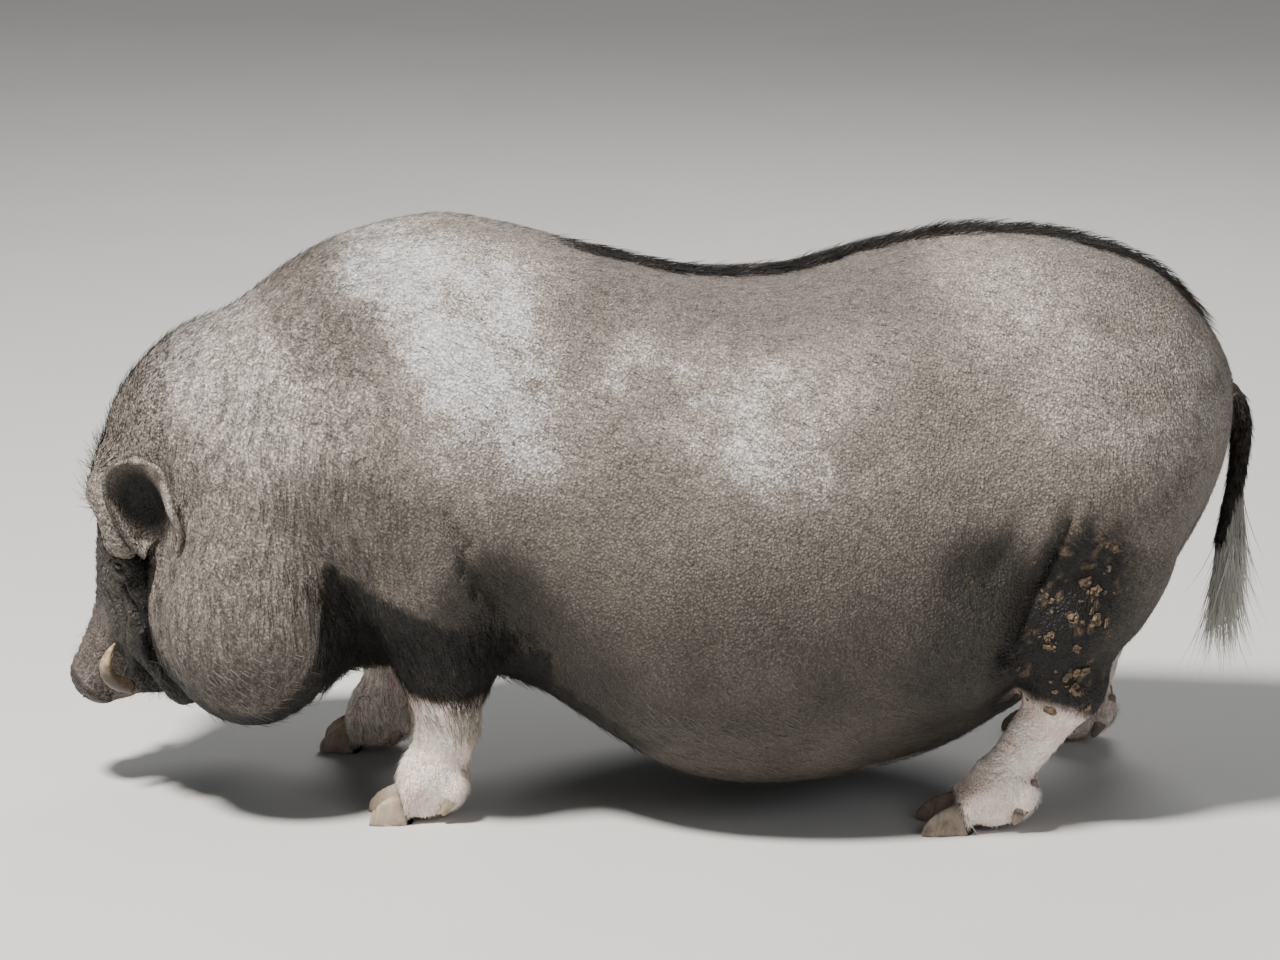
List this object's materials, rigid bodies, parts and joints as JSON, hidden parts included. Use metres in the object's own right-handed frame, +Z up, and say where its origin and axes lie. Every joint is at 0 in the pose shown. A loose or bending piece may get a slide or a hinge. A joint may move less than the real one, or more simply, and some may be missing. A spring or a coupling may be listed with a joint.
{
  "type": "pot bellied pig figure",
  "caption": "Life-size pot bellied pig standing with its head lowered to graze, heavy jowls, short tusks, sagging belly and a hanging tasselled tail.",
  "frame": {"origin": "on the floor under the middle of the pig's bounding box", "axes": "+Z up, the head points to -X and the pig's left side to -Y"},
  "size_m": [1.118, 0.491, 0.5534],
  "materials": {
    "skin": "dusty grey hide with short sparse hair",
    "black_skin": "black hide with black hair",
    "pale_skin": "pale pink hide with white hair",
    "snout": "bare mauve-grey skin",
    "tail_hair": "black tail with a pale hair tassel",
    "claw": "worn grey-brown horn",
    "tusk": "yellowed ivory",
    "eye": "wet dark brown"
  },
  "bodies": {
    "root": {"claw_fore_left_inner": "claw", "claw_fore_left_outer": "claw", "claw_fore_right_inner": "claw", "claw_fore_right_outer": "claw", "claw_hind_left_inner": "claw", "claw_hind_left_outer": "claw", "claw_hind_right_inner": "claw", "claw_hind_right_outer": "claw", "dewclaw_fore_left_inner": "claw", "dewclaw_fore_left_outer": "claw", "dewclaw_fore_right_inner": "claw", "dewclaw_fore_right_outer": "claw", "dewclaw_hind_left_inner": "claw", "dewclaw_hind_left_outer": "claw", "dewclaw_hind_right_inner": "claw", "dewclaw_hind_right_outer": "claw", "ear_left": "skin", "ear_right": "skin", "eye_left": "eye", "eye_right": "eye", "forefoot_left": "pale_skin", "forefoot_right": "pale_skin", "foreleg_left": "black_skin", "foreleg_right": "black_skin", "head": "skin", "hindfoot_left": "pale_skin", "hindfoot_right": "pale_skin", "neck": "skin", "rump": "skin", "shank_left": "pale_skin", "shank_right": "pale_skin", "snout": "snout", "tail": "tail_hair", "thigh_left": "skin", "thigh_right": "skin", "torso": "skin", "tusk_left": "tusk", "tusk_right": "tusk"}
  },
  "joints": []
}
